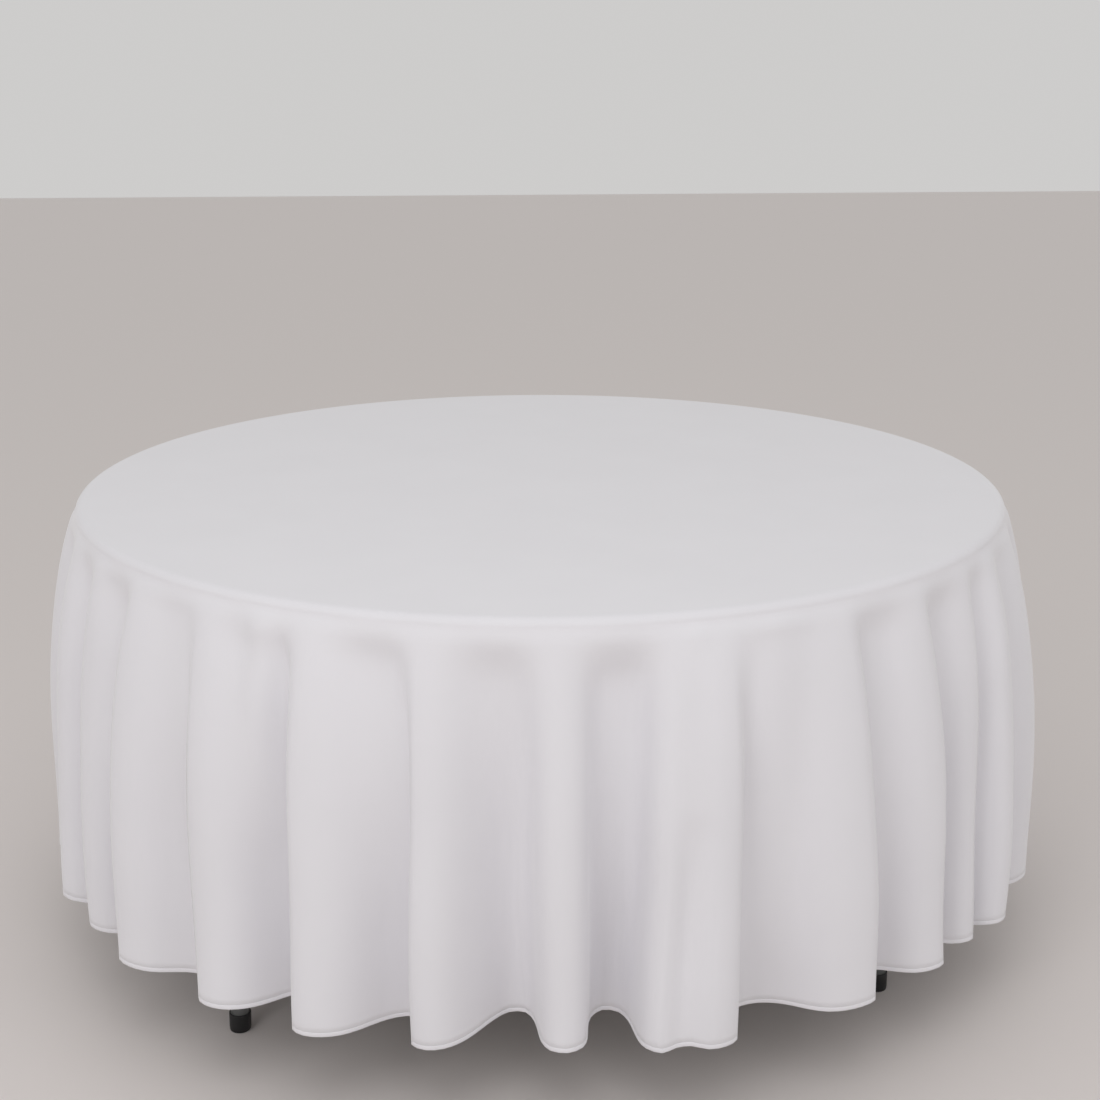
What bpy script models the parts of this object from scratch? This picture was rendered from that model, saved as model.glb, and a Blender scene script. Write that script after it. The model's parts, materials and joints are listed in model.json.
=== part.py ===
"""Round folding table under a round tablecloth, in metres, +Z up.

The origin is on the floor under the centre of the table. The two leg frames fold
about axes parallel to Y; the left frame (-X) is the wider one, so that both lie
flat in one plane under the top when they are folded.
"""

from math import atan2, cos, pi, radians, sin, tan

import bmesh
import bpy
from mathutils import Matrix, Vector

GAP = 0.0003                  # clearance between touching pieces

# table top
TOP_RADIUS = 0.762
TOP_HEIGHT = 0.7366
TOP_PANEL = 0.040             # thickness over the middle
TOP_LIP = 0.046               # depth of the rim
TOP_LIP_WIDTH = 0.022
LIP_CHAMFER = 0.004
RIM_FILLET = 0.012
FILLET_STEPS = 4
TOP_SEGMENTS = 64
UNDERSIDE = TOP_HEIGHT - TOP_PANEL

# rails under the top
RAIL_Y = 0.330
RAIL_LENGTH = 1.180
RAIL_WIDTH = 0.030
RAIL_DEPTH = 0.029
RAIL_WALL = 0.002
RAIL_SCREWS_X = (-0.540, -0.180, 0.180, 0.540)

# leg frames
PIVOT_X = 0.480
PIVOT_Z = 0.650
FOOT_X = 0.499
HALF_WIDTH = {"left": 0.471, "right": 0.437}
SIDE = {"left": -1.0, "right": 1.0}
TUBE_RADIUS = 0.0143
TUBE_WALL = 0.0015
TUBE_SIDES = 12
BEND_RADIUS = 0.060
BEND_STEPS = 6
CROSS_DROP = 0.270            # cross tube below the pivot, along the leg
SPLAY = atan2(FOOT_X - PIVOT_X, PIVOT_Z)
LEG_LENGTH = PIVOT_Z / cos(SPLAY)

# foot caps
CAP_TOP_RADIUS = 0.0166
CAP_SOLE_RADIUS = 0.0158
CAP_HEIGHT = 0.030
CAP_SOLE = 0.005
CAP_SIDES = 20

# saddle clamps
SADDLE_WIDTH = 0.024
SADDLE_WALL = 0.0025
SADDLE_FLANGE = 0.016
SADDLE_STEPS = 12

# knee braces
PIN_OFFSET = 0.026            # brace pins above the folded frame's middle plane
ANCHOR_X = 0.030              # centre pins on both sides of the middle
LOWER_RADIUS = 0.0095
LOWER_WALL = 0.0015
EAR_INNER = 0.0101            # half gap between the ears on the cross tube
EAR_WALL = 0.0025
EAR_HALF = 0.010
EAR_REACH = 0.009             # the ears' round nose beyond the pin
EAR_NOSE = 0.004              # half height of that nose
EAR_PLATE = 0.0017
EAR_PLATE_MARGIN = 0.006
STRAP_INNER = 0.0156
STRAP_WALL = 0.0035
STRAP_HEIGHT = 0.019
STRAP_ARC_STEPS = 8
SPACER_RADIUS = 0.005
SPACER_PLACE = 0.25           # along the strap, clear of the folded lower brace
PIN_RADIUS = 0.004
PIN_HEAD_RADIUS = 0.0065
PIN_HEAD = 0.002
RIVET_DOME = 0.6              # share of the rivet head's radius and height before its dome
RIVET_CLEARANCE = 0.0008
HOLE_CLEARANCE = 0.0003
PIN_SIDES = 12
HOLE_SIDES = 14

# centre bracket
BRACKET_LENGTH = 0.150
BRACKET_WIDTH = 0.090
BRACKET_WALL = 0.0025
BRACKET_SCREW_X = 0.060
BRACKET_SCREW_Y = 0.033
BRACKET_EAR_MARGIN = 0.012    # beyond each centre pin
BRACKET_EAR_DROP = 0.010      # below the centre pins
BRACKET_EAR_CORNER = 0.008

# screws
SCREW_HEAD_RADIUS = 0.0055
SCREW_HEAD = 0.0028
SCREW_SHANK_RADIUS = 0.0025
SCREW_LENGTH = 0.016
CLAMP_SCREW_LENGTH = 0.010
SCREW_SIDES = 10
DRILL_MARGIN = 0.003          # a drill runs this far past both faces

# tablecloth
CLOTH_REST = 0.0005           # inside of the cloth above the table top
CLOTH_TOP_WALL = 0.0016
CLOTH_WALL = 0.0026
CLOTH_RIDGE = 0.845           # outermost radius, at the hem
CLOTH_VALLEY = 0.768          # innermost outer-face radius, at the hem, just wider than the top
CLOTH_BOTTOM = 0.140
HEM_HEIGHT = 0.010
FOLDS = 28
STEPS_PER_FOLD = 6
SKIRT_ROWS = 4
SHOULDER_STEPS = 4
RIDGE_GROWTH = 0.75           # how quickly the folds swell below the rim
ROW_CROWDING = 1.3            # rows lie closer together near the rim


# ---------------------------------------------------------------- helpers

def clear_scene():
    for old in list(bpy.data.objects):
        bpy.data.objects.remove(old, do_unlink=True)


def material(name, colour, roughness, metallic=0.0):
    mat = bpy.data.materials.new(name)
    mat.use_nodes = True
    shader = mat.node_tree.nodes["Principled BSDF"]
    shader.inputs["Base Color"].default_value = (*colour, 1.0)
    shader.inputs["Roughness"].default_value = roughness
    shader.inputs["Metallic"].default_value = metallic
    return mat


def joint_frame(name, place, turn=0.0, parent=None):
    """An empty on a joint axis; turn is about Y."""
    empty = bpy.data.objects.new(name, None)
    empty.empty_display_size = 0.03
    empty.matrix_local = Matrix.Translation(place) @ Matrix.Rotation(turn, 4, "Y")
    empty.parent = parent
    bpy.context.scene.collection.objects.link(empty)
    return empty


def finish(name, bm, mat, parent=None, smooth=True):
    """Turns a bmesh into a named object with outward normals."""
    bmesh.ops.recalc_face_normals(bm, faces=bm.faces)
    mesh = bpy.data.meshes.new(name)
    bm.to_mesh(mesh)
    bm.free()
    if smooth:
        mesh.shade_smooth()
        mesh.set_sharp_from_angle(angle=radians(35))
    obj = bpy.data.objects.new(name, mesh)
    obj.data.materials.append(mat)
    obj.parent = parent
    bpy.context.scene.collection.objects.link(obj)
    return obj


def bridge_rings(bm, rings, closed=True):
    """Quads between rings of equal length; closed also joins the last ring to the first."""
    pairs = list(zip(rings, rings[1:] + rings[:1])) if closed else list(zip(rings, rings[1:]))
    for ring, other in pairs:
        count = len(ring)
        for i in range(count):
            j = (i + 1) % count
            bm.faces.new((ring[i], ring[j], other[j], other[i]))


def ring_at(bm, centre, u, v, radius, sides):
    angles = [2 * pi * i / sides for i in range(sides)]
    return [bm.verts.new(centre + radius * (cos(a) * u + sin(a) * v)) for a in angles]


def add_turned(bm, profile, sides, place=Vector((0, 0, 0)), axis="Z"):
    """Turns (radius, height) points round the axis; ends on the axis become closed fans."""
    u, v, w = {
        "Z": (Vector((1, 0, 0)), Vector((0, 1, 0)), Vector((0, 0, 1))),
        "Y": (Vector((0, 0, 1)), Vector((1, 0, 0)), Vector((0, 1, 0))),
    }[axis]
    rings = []
    for radius, height in profile:
        centre = place + height * w
        ring = ring_at(bm, centre, u, v, radius, sides) if radius else bm.verts.new(centre)
        rings.append(ring)
    for low, high in zip(rings, rings[1:]):
        for i in range(sides):
            j = (i + 1) % sides
            if isinstance(low, list) and isinstance(high, list):
                bm.faces.new((low[i], low[j], high[j], high[i]))
            elif isinstance(low, list):
                bm.faces.new((low[i], low[j], high))
            else:
                bm.faces.new((low, high[j], high[i]))


def add_pipe(bm, path, outer, inner, sides):
    """A hollow pipe with open ends along a path in the YZ plane."""
    across = Vector((1, 0, 0))
    layers = []
    for radius in (outer, inner):
        rings = []
        for i, point in enumerate(path):
            ahead = path[min(i + 1, len(path) - 1)] - path[max(i - 1, 0)]
            rings.append(ring_at(bm, point, across, ahead.normalized().cross(across), radius, sides))
        layers.append(rings)
    bridge_rings(bm, layers[0] + layers[1][::-1])


def add_box(bm, low, high):
    size = Vector(high) - Vector(low)
    centre = (Vector(high) + Vector(low)) / 2
    place = Matrix.Translation(centre) @ Matrix.Diagonal((*size, 1.0))
    bmesh.ops.create_cube(bm, size=1.0, matrix=place)


def add_prism(bm, outline, y_low, y_high):
    """Extrudes an outline of (x, z) points along Y."""
    low = [bm.verts.new((x, y_low, z)) for x, z in outline]
    high = [bm.verts.new((x, y_high, z)) for x, z in outline]
    bm.faces.new(low)
    bm.faces.new(high[::-1])
    bridge_rings(bm, [low, high], closed=False)


def cutter(bm, name, parent):
    tool = finish(name, bm, bpy.data.materials["zinc"], parent, smooth=False)
    tool.hide_render = True
    tool.display_type = "WIRE"
    return tool


def cut(obj, tool):
    mod = obj.modifiers.new(tool.name, "BOOLEAN")
    mod.operation = "DIFFERENCE"
    mod.object = tool


def drill_profile(radius, reach):
    return [(0, -reach), (radius, -reach), (radius, reach), (0, reach)]


def rotated(x, z, angle):
    """Turns a point in the XZ plane so that a positive angle takes down (-Z) towards +X."""
    return x * cos(angle) - z * sin(angle), x * sin(angle) + z * cos(angle)


def folded_brace():
    """Lengths and rest directions of the knee brace, with +X inwards and the origin at the pivot.

    Folded, the three pins lie on one line PIN_OFFSET above the frame's plane, the knee beyond
    the lower pin; standing, they lie on one straight line.
    """
    fold = pi / 2 + SPLAY
    lower_pin = Vector(rotated(CROSS_DROP, PIN_OFFSET, -fold))
    anchor = Vector((PIVOT_X - ANCHOR_X, PIN_OFFSET))
    span = (anchor - lower_pin).length
    reach = anchor.x - CROSS_DROP
    upper = (span + reach) / 2
    lower = (span - reach) / 2
    slope = atan2(anchor.y - lower_pin.y, anchor.x - lower_pin.x)
    return upper, lower, slope, lower_pin, anchor


UPPER_LENGTH, LOWER_LENGTH, BRACE_SLOPE, LOWER_PIN, ANCHOR = folded_brace()


# ---------------------------------------------------------------- table top and its steel

def table_top(mat):
    """Moulded disc with a rounded upper edge and a lip round its underside."""
    fillet = [
        (
            TOP_RADIUS - RIM_FILLET + RIM_FILLET * sin(i * pi / 2 / FILLET_STEPS),
            TOP_HEIGHT - RIM_FILLET + RIM_FILLET * cos(i * pi / 2 / FILLET_STEPS),
        )
        for i in range(FILLET_STEPS + 1)
    ]
    lip = TOP_HEIGHT - TOP_LIP
    profile = [(0, TOP_HEIGHT)] + fillet + [
        (TOP_RADIUS, lip + LIP_CHAMFER),
        (TOP_RADIUS - LIP_CHAMFER, lip),
        (TOP_RADIUS - TOP_LIP_WIDTH, lip),
        (TOP_RADIUS - TOP_LIP_WIDTH - LIP_CHAMFER, UNDERSIDE),
        (0, UNDERSIDE),
    ]
    bm = bmesh.new()
    add_turned(bm, profile, TOP_SEGMENTS)
    return finish("table_top", bm, mat)


def side_rail(name, y, mat):
    """C section along X, open towards the middle, its upper flange against the top."""
    outward = 1 if y > 0 else -1
    top = UNDERSIDE - GAP
    low = top - RAIL_DEPTH
    web = y + outward * RAIL_WIDTH / 2
    lip = y - outward * RAIL_WIDTH / 2
    inside = web - outward * RAIL_WALL
    outline = [
        (lip, top),
        (web, top),
        (web, low),
        (lip, low),
        (lip, low + RAIL_WALL),
        (inside, low + RAIL_WALL),
        (inside, top - RAIL_WALL),
        (lip, top - RAIL_WALL),
    ]
    bm = bmesh.new()
    half = RAIL_LENGTH / 2
    ends = [[bm.verts.new((x, *point)) for point in outline] for x in (-half, half)]
    bridge_rings(bm, ends, closed=False)
    bm.faces.new(ends[0])
    bm.faces.new(ends[1][::-1])
    return finish(name, bm, mat, smooth=False)


def head_screw(name, x, y, seat, mat, length=SCREW_LENGTH):
    """Pan-head screw driven upwards, its head against the seat and its shank above it."""
    profile = [
        (0, seat - GAP - SCREW_HEAD),
        (SCREW_HEAD_RADIUS * 0.7, seat - GAP - SCREW_HEAD),
        (SCREW_HEAD_RADIUS, seat - GAP - SCREW_HEAD * 0.5),
        (SCREW_HEAD_RADIUS, seat - GAP),
        (SCREW_SHANK_RADIUS, seat - GAP),
        (SCREW_SHANK_RADIUS, seat - GAP + length),
        (0, seat - GAP + length),
    ]
    bm = bmesh.new()
    add_turned(bm, profile, SCREW_SIDES, Vector((x, y, 0)))
    return finish(name, bm, mat)


def drill_up(obj, name, points, low, high):
    """Clearance holes along Z through an object, one for each (x, y) point."""
    bm = bmesh.new()
    radius = SCREW_SHANK_RADIUS + HOLE_CLEARANCE
    for x, y in points:
        outline = [(0, low), (radius, low), (radius, high), (0, high)]
        add_turned(bm, outline, SCREW_SIDES, Vector((x, y, 0)))
    cut(obj, cutter(bm, name, obj.parent))


def saddle_clamp(name, x, y, mat):
    """Strap under a pivot tube, with a flange each side against the rail."""
    inner = TUBE_RADIUS + GAP
    outer = inner + SADDLE_WALL
    top = UNDERSIDE - GAP - RAIL_DEPTH - GAP
    end = outer + SADDLE_FLANGE
    flange = top - SADDLE_WALL
    arc = [pi + pi * i / SADDLE_STEPS for i in range(SADDLE_STEPS + 1)]
    outline = [(-end, top), (-inner, top)]
    outline += [(inner * cos(a), PIVOT_Z + inner * sin(a)) for a in arc]
    outline += [(inner, top), (end, top), (end, flange), (outer, flange)]
    outline += [(outer * cos(a), PIVOT_Z + outer * sin(a)) for a in arc[::-1]]
    outline += [(-outer, flange), (-end, flange)]
    bm = bmesh.new()
    add_prism(bm, [(x + px, pz) for px, pz in outline], y - SADDLE_WIDTH / 2, y + SADDLE_WIDTH / 2)
    return finish(name, bm, mat)


def saddle_screw_points(x, y):
    away = TUBE_RADIUS + GAP + SADDLE_WALL + SADDLE_FLANGE / 2
    return [(x - away, y), (x + away, y)]


def centre_bracket(mat):
    """Plate under the top with two ears that carry both centre pins."""
    top = UNDERSIDE - GAP
    pin_z = PIVOT_Z + PIN_OFFSET
    bm = bmesh.new()
    add_box(
        bm,
        (-BRACKET_LENGTH / 2, -BRACKET_WIDTH / 2, top - BRACKET_WALL),
        (BRACKET_LENGTH / 2, BRACKET_WIDTH / 2, top),
    )
    plate = finish("centre_bracket", bm, mat, smooth=False)
    half = ANCHOR_X + BRACKET_EAR_MARGIN
    low = pin_z - BRACKET_EAR_DROP
    shoulder = low + BRACKET_EAR_CORNER
    root = top - BRACKET_WALL / 2
    ears = bmesh.new()
    for y in (-EAR_INNER - EAR_WALL, EAR_INNER):
        outline = [
            (-half, root),
            (-half, shoulder),
            (-half + BRACKET_EAR_CORNER, low),
            (half - BRACKET_EAR_CORNER, low),
            (half, shoulder),
            (half, root),
        ]
        add_prism(ears, outline, y, y + EAR_WALL)
    tool = cutter(ears, "centre_ears", None)
    join = plate.modifiers.new("ears", "BOOLEAN")
    join.operation = "UNION"
    join.object = tool
    holes = bmesh.new()
    radius = PIN_RADIUS + HOLE_CLEARANCE
    for x in (-ANCHOR_X, ANCHOR_X):
        add_turned(holes, drill_profile(radius, BRACKET_WIDTH), HOLE_SIDES, Vector((x, 0, pin_z)), "Y")
    cut(plate, cutter(holes, "centre_pin_holes", None))
    across = (-BRACKET_SCREW_Y, BRACKET_SCREW_Y)
    points = [(x, y) for x in (-BRACKET_SCREW_X, BRACKET_SCREW_X) for y in across]
    drill_up(plate, "centre_screw_holes", points, top - BRACKET_WALL * 2, top + BRACKET_WALL)
    return plate, points


def clevis_pin(name, half_length, place, mat, parent=None):
    """Headed pin along Y."""
    profile = [
        (0, -half_length - PIN_HEAD),
        (PIN_HEAD_RADIUS, -half_length - PIN_HEAD),
        (PIN_HEAD_RADIUS, -half_length),
        (PIN_RADIUS, -half_length),
        (PIN_RADIUS, half_length),
        (PIN_HEAD_RADIUS, half_length),
        (PIN_HEAD_RADIUS, half_length + PIN_HEAD),
        (0, half_length + PIN_HEAD),
    ]
    bm = bmesh.new()
    add_turned(bm, profile, PIN_SIDES, Vector(place), "Y")
    return finish(name, bm, mat, parent)


# ---------------------------------------------------------------- leg frames

def leg_path(half_width):
    """U path in the YZ plane: up one leg, across at the pivot and down the other."""
    low = -LEG_LENGTH + CAP_SOLE + GAP
    corner = half_width - BEND_RADIUS
    path = [Vector((0, -half_width, low)), Vector((0, -half_width, -BEND_RADIUS))]
    turns = [pi - i * pi / 2 / BEND_STEPS for i in range(1, BEND_STEPS + 1)]
    path += [
        Vector((0, -corner + BEND_RADIUS * cos(a), -BEND_RADIUS + BEND_RADIUS * sin(a))) for a in turns
    ]
    return path + [Vector((0, -p.y, p.z)) for p in reversed(path)]


def leg_tube(name, half_width, mat, parent):
    bm = bmesh.new()
    add_pipe(bm, leg_path(half_width), TUBE_RADIUS, TUBE_RADIUS - TUBE_WALL, TUBE_SIDES)
    return finish(name, bm, mat, parent)


def cross_tube(name, half_width, mat, parent):
    end = half_width - TUBE_RADIUS - GAP
    path = [Vector((0, -end, -CROSS_DROP)), Vector((0, end, -CROSS_DROP))]
    bm = bmesh.new()
    add_pipe(bm, path, TUBE_RADIUS, TUBE_RADIUS - TUBE_WALL, TUBE_SIDES)
    return finish(name, bm, mat, parent)


def foot_cap(name, y, inward, mat, parent):
    """Tapered cup over the end of a leg, its sole cut level with the floor."""
    bore = TUBE_RADIUS + HOLE_CLEARANCE
    sole = -LEG_LENGTH
    profile = [
        (0, sole + CAP_SOLE),
        (bore, sole + CAP_SOLE),
        (bore, sole + CAP_HEIGHT),
        (CAP_TOP_RADIUS - 0.0005, sole + CAP_HEIGHT),
        (CAP_TOP_RADIUS, sole + CAP_HEIGHT - 0.001),
        (CAP_SOLE_RADIUS, sole + 0.002),
        (CAP_SOLE_RADIUS - 0.0015, sole),
        (0, sole),
    ]
    bm = bmesh.new()
    add_turned(bm, profile, CAP_SIDES, Vector((0, y, 0)))
    for vert in bm.verts:
        if vert.co.z < sole + CAP_SOLE / 2:
            vert.co.z += inward * vert.co.x * tan(SPLAY)
    return finish(name, bm, mat, parent)


def brace_ears(name, inward, mat, parent):
    """Pair of ears on the inner side of the cross tube, joined by a saddle plate."""
    near = TUBE_RADIUS + GAP
    nose = PIN_OFFSET + EAR_REACH
    cheek = nose - EAR_HALF + EAR_NOSE
    bm = bmesh.new()
    for y in (-EAR_INNER - EAR_WALL, EAR_INNER):
        outline = [
            (inward * near, -CROSS_DROP - EAR_HALF),
            (inward * cheek, -CROSS_DROP - EAR_HALF),
            (inward * nose, -CROSS_DROP - EAR_NOSE),
            (inward * nose, -CROSS_DROP + EAR_NOSE),
            (inward * cheek, -CROSS_DROP + EAR_HALF),
            (inward * near, -CROSS_DROP + EAR_HALF),
        ]
        add_prism(bm, outline, y, y + EAR_WALL)
    ears = cutter(bm, name + "_cheeks", parent)
    plate = bmesh.new()
    low, high = sorted((inward * near, inward * (near + EAR_PLATE)))
    reach = EAR_INNER + EAR_WALL + EAR_PLATE_MARGIN
    add_box(plate, (low, -reach, -CROSS_DROP - EAR_HALF), (high, reach, -CROSS_DROP + EAR_HALF))
    base = finish(name, plate, mat, parent, smooth=False)
    join = base.modifiers.new("cheeks", "BOOLEAN")
    join.operation = "UNION"
    join.object = ears
    holes = bmesh.new()
    radius = PIN_RADIUS + HOLE_CLEARANCE
    place = Vector((inward * PIN_OFFSET, 0, -CROSS_DROP))
    add_turned(holes, drill_profile(radius, reach), HOLE_SIDES, place, "Y")
    cut(base, cutter(holes, name + "_hole", parent))
    return base


# ---------------------------------------------------------------- knee braces

def lower_brace(name, mat, parent):
    """Pressed tube between the ears and the knee, along +X, with a rounded end at each pin."""
    end_steps = 4
    ends = [
        (LOWER_RADIUS * sin(i * pi / 2 / end_steps), -LOWER_RADIUS * cos(i * pi / 2 / end_steps))
        for i in range(end_steps + 1)
    ]
    profile = ends + [(radius, LOWER_LENGTH - height) for radius, height in reversed(ends)]
    bm = bmesh.new()
    add_turned(bm, profile, TUBE_SIDES)
    bmesh.ops.rotate(bm, verts=bm.verts, matrix=Matrix.Rotation(pi / 2, 3, "Y"))
    rod = finish(name, bm, mat, parent)
    holes = bmesh.new()
    radius = PIN_RADIUS + HOLE_CLEARANCE
    for x in (0.0, LOWER_LENGTH):
        add_turned(holes, drill_profile(radius, LOWER_RADIUS * 2), HOLE_SIDES, Vector((x, 0, 0)), "Y")
    cut(rod, cutter(holes, name + "_holes", parent))
    return rod


def brace_strap(name, y, mat, parent):
    """Flat bar with round ends from the centre pin to the knee, along +X."""
    half = STRAP_HEIGHT / 2
    quarter = [pi / 2 - i * pi / STRAP_ARC_STEPS for i in range(STRAP_ARC_STEPS + 1)]
    outline = [(UPPER_LENGTH + half * cos(a), half * sin(a)) for a in quarter]
    outline += [(-half * cos(a), -half * sin(a)) for a in quarter]
    bm = bmesh.new()
    add_prism(bm, outline, y, y + STRAP_WALL)
    strap = finish(name, bm, mat, parent)
    holes = bmesh.new()
    radius = PIN_RADIUS + HOLE_CLEARANCE
    reach = STRAP_INNER + STRAP_WALL * 2
    for x in (0.0, UPPER_LENGTH):
        add_turned(holes, drill_profile(radius, reach), HOLE_SIDES, Vector((x, 0, 0)), "Y")
    cut(strap, cutter(holes, name + "_holes", parent))
    return strap


def strap_spacer(name, mat, parent):
    """Riveted distance piece that keeps the two straps apart."""
    place = Vector((UPPER_LENGTH * SPACER_PLACE, 0, 0))
    bm = bmesh.new()
    add_turned(bm, drill_profile(SPACER_RADIUS, STRAP_INNER - GAP), PIN_SIDES, place, "Y")
    return finish(name, bm, mat, parent)


def knee_rivet(name, sign, mat, parent):
    """Half of the knee rivet: head outside the strap, shank ending short of the lower brace."""
    outside = STRAP_INNER + STRAP_WALL + GAP
    inside = LOWER_RADIUS + RIVET_CLEARANCE
    profile = [
        (0, inside),
        (PIN_RADIUS, inside),
        (PIN_RADIUS, outside),
        (PIN_HEAD_RADIUS, outside),
        (PIN_HEAD_RADIUS, outside + PIN_HEAD * RIVET_DOME),
        (PIN_HEAD_RADIUS * RIVET_DOME, outside + PIN_HEAD),
        (0, outside + PIN_HEAD),
    ]
    place = Vector((UPPER_LENGTH, 0, 0))
    bm = bmesh.new()
    add_turned(bm, [(radius, sign * height) for radius, height in profile], PIN_SIDES, place, "Y")
    return finish(name, bm, mat, parent)


# ---------------------------------------------------------------- tablecloth

CLOTH_TOP = TOP_HEIGHT + CLOTH_REST + CLOTH_TOP_WALL
CLOTH_RIM = TOP_RADIUS + CLOTH_REST + CLOTH_WALL
CLOTH_BEND = RIM_FILLET + CLOTH_REST      # inner radius of the bend over the rim
DROP_START = TOP_HEIGHT - RIM_FILLET      # the cloth hangs free of the bend from here down
LIP_HEIGHT = TOP_HEIGHT - TOP_LIP         # underside of the table top's rim


def skirt_radius(z, angle):
    """Outer radius of the hanging cloth: ridges swell below the rim, valleys hang almost straight down."""
    down = max(DROP_START - z, 0.0) / (DROP_START - CLOTH_BOTTOM)
    ridge = CLOTH_RIM + (CLOTH_RIDGE - CLOTH_RIM) * down ** RIDGE_GROWTH
    valley = CLOTH_RIM + (CLOTH_VALLEY - CLOTH_RIM) * down
    wave = 0.5 + 0.5 * cos(FOLDS * angle)
    return valley + (ridge - valley) * wave


def cloth_ring(bm, radius_at, z):
    count = FOLDS * STEPS_PER_FOLD
    ring = []
    for i in range(count):
        angle = 2 * pi * i / count
        radius = radius_at(angle)
        ring.append(bm.verts.new((radius * cos(angle), radius * sin(angle), z)))
    return ring


def bend_rings(bm, wall, top_wall):
    """Rings over the rim, from the flat top to where the cloth hangs, off the inside face."""
    rings = []
    for i in range(SHOULDER_STEPS):
        a = i * pi / 2 / SHOULDER_STEPS
        radius = CLOTH_RIM - CLOTH_WALL - CLOTH_BEND + (CLOTH_BEND + wall) * sin(a)
        height = DROP_START + (CLOTH_BEND + top_wall) * cos(a)
        rings.append(cloth_ring(bm, lambda angle, r=radius: r, height))
    return rings


def skirt_rings(bm, inset, heights):
    return [cloth_ring(bm, lambda angle, h=z: skirt_radius(h, angle) - inset, z) for z in heights]


def join_wall(bm, rings):
    """Two triangles in each cell between rings listed from the top down, all with the same diagonal.

    Both faces of the cloth are split alike, so that its thin wall never crosses itself.
    """
    for upper, lower in zip(rings, rings[1:]):
        for i in range(len(upper)):
            j = (i + 1) % len(upper)
            bm.faces.new((upper[i], lower[j], upper[j]))
            bm.faces.new((upper[i], lower[i], lower[j]))


def tablecloth(mat):
    """One seamless round cloth: flat over the top, bent over the rim and fluted below it."""
    low = CLOTH_BOTTOM + HEM_HEIGHT + GAP
    shares = [(i / SKIRT_ROWS) ** ROW_CROWDING for i in range(SKIRT_ROWS + 1)]
    heights = [DROP_START] + [LIP_HEIGHT + (low - LIP_HEIGHT) * share for share in shares]
    bm = bmesh.new()
    outer = bend_rings(bm, CLOTH_WALL, CLOTH_TOP_WALL) + skirt_rings(bm, 0.0, heights)
    inner = bend_rings(bm, 0.0, 0.0) + skirt_rings(bm, CLOTH_WALL, heights)
    join_wall(bm, outer)
    join_wall(bm, inner)
    bridge_rings(bm, [outer[-1], inner[-1]], closed=False)
    for ring in (outer[0], inner[0]):
        middle = bm.verts.new((0, 0, ring[0].co.z))
        for i, vert in enumerate(ring):
            bm.faces.new((vert, ring[(i + 1) % len(ring)], middle))
    return finish("tablecloth", bm, mat)


def tablecloth_hem(mat):
    """Turned and stitched band along the cloth's lower edge."""
    heights = [CLOTH_BOTTOM + HEM_HEIGHT, CLOTH_BOTTOM]
    bm = bmesh.new()
    outer = skirt_rings(bm, 0.0, heights)
    inner = skirt_rings(bm, CLOTH_WALL, heights)
    join_wall(bm, outer)
    join_wall(bm, inner)
    for edge in (0, 1):
        bridge_rings(bm, [outer[edge], inner[edge]], closed=False)
    return finish("tablecloth_hem", bm, mat)


# ---------------------------------------------------------------- assembly

def build_root(plastic, steel, zinc):
    top = table_top(plastic)
    rail_low = UNDERSIDE - GAP - RAIL_DEPTH
    top_holes = []
    for word, y in (("front", -RAIL_Y), ("back", RAIL_Y)):
        rail = side_rail("side_rail_" + word, y, steel)
        points = [(x, y) for x in RAIL_SCREWS_X]
        seat = UNDERSIDE - GAP - RAIL_WALL
        for number, (x, screw_y) in enumerate(points, 1):
            head_screw(f"rail_screw_{word}_{number}", x, screw_y, seat, zinc)
        top_holes += points
        drill_up(rail, f"rail_{word}_holes", points, seat - DRILL_MARGIN, UNDERSIDE + DRILL_MARGIN)
        clamp_points = []
        for side, sign in SIDE.items():
            x = sign * PIVOT_X
            clamp = saddle_clamp(f"saddle_clamp_{side}_{word}", x, y, steel)
            ends = saddle_screw_points(x, y)
            clamp_seat = rail_low - GAP - SADDLE_WALL
            holes = f"clamp_{side}_{word}_holes"
            drill_up(clamp, holes, ends, clamp_seat - DRILL_MARGIN, rail_low + DRILL_MARGIN)
            for end, point in zip(("outer", "inner") if sign < 0 else ("inner", "outer"), ends):
                name = f"clamp_screw_{side}_{word}_{end}"
                head_screw(name, *point, clamp_seat, zinc, CLAMP_SCREW_LENGTH)
            clamp_points += ends
        drilled = rail_low + RAIL_WALL + DRILL_MARGIN
        drill_up(rail, f"rail_{word}_clamp_holes", clamp_points, rail_low - DRILL_MARGIN, drilled)
    bracket, bracket_points = centre_bracket(steel)
    top_holes += bracket_points
    seat = UNDERSIDE - GAP - BRACKET_WALL
    for number, (x, y) in enumerate(bracket_points, 1):
        head_screw(f"bracket_screw_{number}", x, y, seat, zinc)
    drill_up(top, "top_screw_holes", top_holes, UNDERSIDE - DRILL_MARGIN, UNDERSIDE + SCREW_LENGTH)
    for side, sign in SIDE.items():
        place = (sign * ANCHOR_X, 0, PIVOT_Z + PIN_OFFSET)
        clevis_pin("centre_pin_" + side, STRAP_INNER + STRAP_WALL + GAP, place, zinc)


def build_leg_frame(side, steel, zinc, rubber):
    sign = SIDE[side]
    inward = -sign
    half_width = HALF_WIDTH[side]
    axis = joint_frame(f"leg_axis_{side}", (sign * PIVOT_X, 0, PIVOT_Z), -sign * SPLAY)
    leg_tube("leg_tube_" + side, half_width, steel, axis)
    cross_tube("cross_tube_" + side, half_width, steel, axis)
    brace_ears("brace_ears_" + side, inward, steel, axis)
    place = (inward * PIN_OFFSET, 0, -CROSS_DROP)
    clevis_pin("brace_pin_" + side, EAR_INNER + EAR_WALL + GAP, place, zinc, axis)
    for word, y in (("front", -half_width), ("back", half_width)):
        foot_cap(f"foot_cap_{side}_{word}", y, inward, rubber, axis)


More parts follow.
